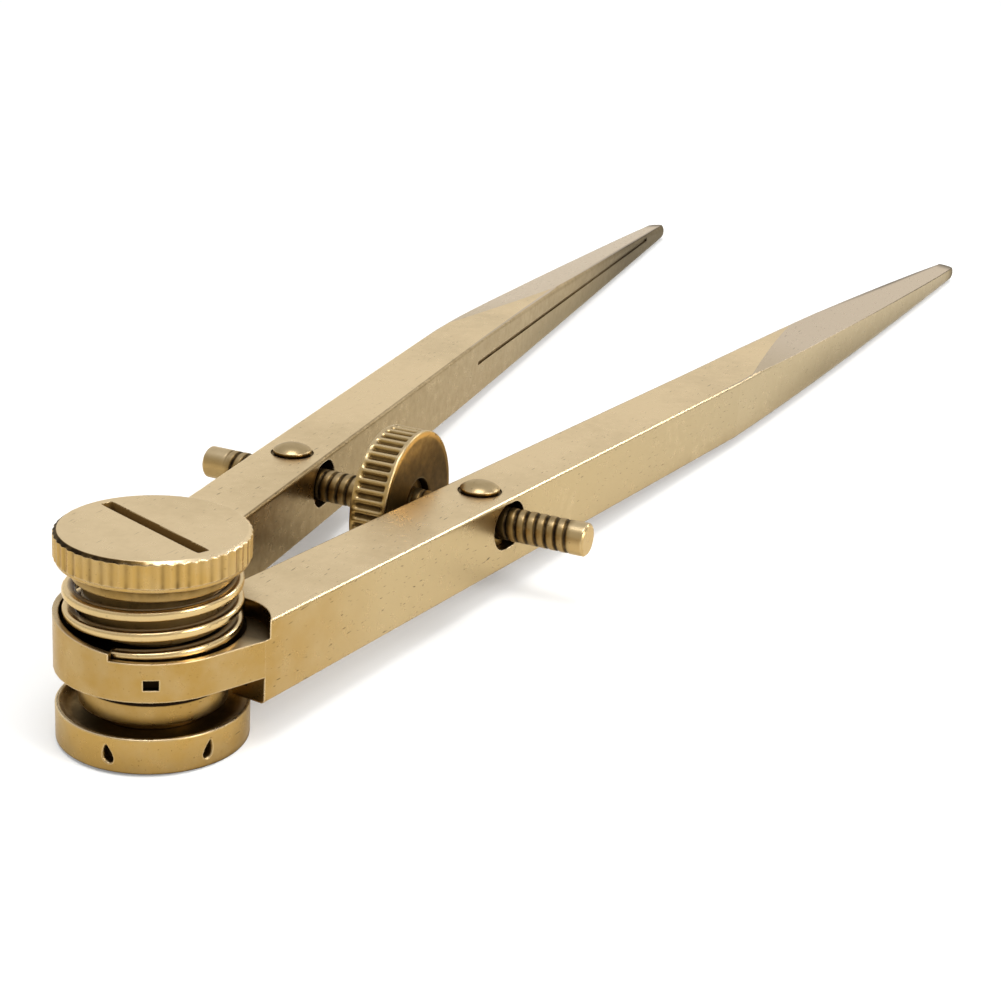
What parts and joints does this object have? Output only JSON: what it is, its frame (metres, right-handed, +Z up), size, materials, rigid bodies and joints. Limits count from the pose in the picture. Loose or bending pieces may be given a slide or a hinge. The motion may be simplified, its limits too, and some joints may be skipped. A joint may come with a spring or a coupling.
{
  "type": "chart divider",
  "caption": "Brass chart divider: two long pointed legs on a spring-loaded pivot with a slotted fluted head, opened and closed by a knurled wheel on a cross screw.",
  "frame": {"origin": "pivot axis at the underside of the base nut", "axes": "+Z up along the pivot axis, +X midway between the legs towards their points, the left leg towards +Y"},
  "size_m": [0.1638, 0.0432, 0.0139],
  "materials": {
    "leg_brass": "aged, worn satin",
    "turned_brass": "aged, worn satin",
    "screw_brass": "aged, worn satin",
    "spring_brass": "aged, worn satin",
    "washer_brass": "aged, worn satin"
  },
  "bodies": {
    "left_side": {"base_nut": "turned_brass", "lower_washer": "washer_brass", "left_leg": "leg_brass", "friction_washer": "washer_brass", "left_pocket_plug": "turned_brass"},
    "right_side": {"right_leg": "leg_brass", "right_pocket_plug": "turned_brass"},
    "left_swivel": {"left_swivel_post": "turned_brass"},
    "right_swivel": {"right_swivel_post": "turned_brass"},
    "washer_carriage": {"wheel_washer": "washer_brass"},
    "screw_and_wheel": {"adjusting_screw": "screw_brass", "adjusting_wheel": "turned_brass", "wheel_pin": "screw_brass"},
    "spring": {"tension_spring": "spring_brass"},
    "pivot": {"pivot_screw": "turned_brass"}
  },
  "joints": [
    {"name": "leg_opening", "type": "hinge", "parent": "left_side", "child": "right_side", "pos_m": [0, 0, 0], "axis": [0, 0, -1], "range_deg": [-6.3, 18]},
    {"name": "left_post_turn", "type": "hinge", "parent": "left_side", "child": "left_swivel", "pos_m": [0.03159, 0.00815, 0], "axis": [0, 0, -1], "range_deg": [-3.2, 9.05]},
    {"name": "right_post_turn", "type": "hinge", "parent": "right_side", "child": "right_swivel", "pos_m": [0.03159, -0.00815, 0], "axis": [0, 0, -1], "range_deg": [-9.05, 3.2]},
    {"name": "screw_travel", "type": "slide", "parent": "left_swivel", "child": "washer_carriage", "axis": [0, -1, 0], "range_m": [-0.00172, 0.00489]},
    {"name": "wheel_turn", "type": "hinge", "parent": "washer_carriage", "child": "screw_and_wheel", "pos_m": [0.03159, 0, 0.00645], "axis": [0, -1, 0], "range_deg": [-2200, 780]},
    {"name": "tension_travel", "type": "slide", "parent": "left_side", "child": "spring", "axis": [0, 0, 1], "range_m": [-0.0005, 0.00025], "deforming": ["tension_spring"]},
    {"name": "tension_turn", "type": "hinge", "parent": "spring", "child": "pivot", "pos_m": [0, 0, 0], "axis": [0, 0, 1], "range_deg": [-361, 181]}
  ],
  "couplings": [
    {"joint": "left_post_turn", "follows": "leg_opening", "ratio": 0.5},
    {"joint": "right_post_turn", "follows": "leg_opening", "ratio": -0.5},
    {"joint": "screw_travel", "follows": "leg_opening", "m_per_rad": 0.0155},
    {"joint": "wheel_turn", "follows": "leg_opening", "ratio": -121.74},
    {"joint": "tension_turn", "follows": "tension_travel", "rad_per_m": 12566}
  ]
}
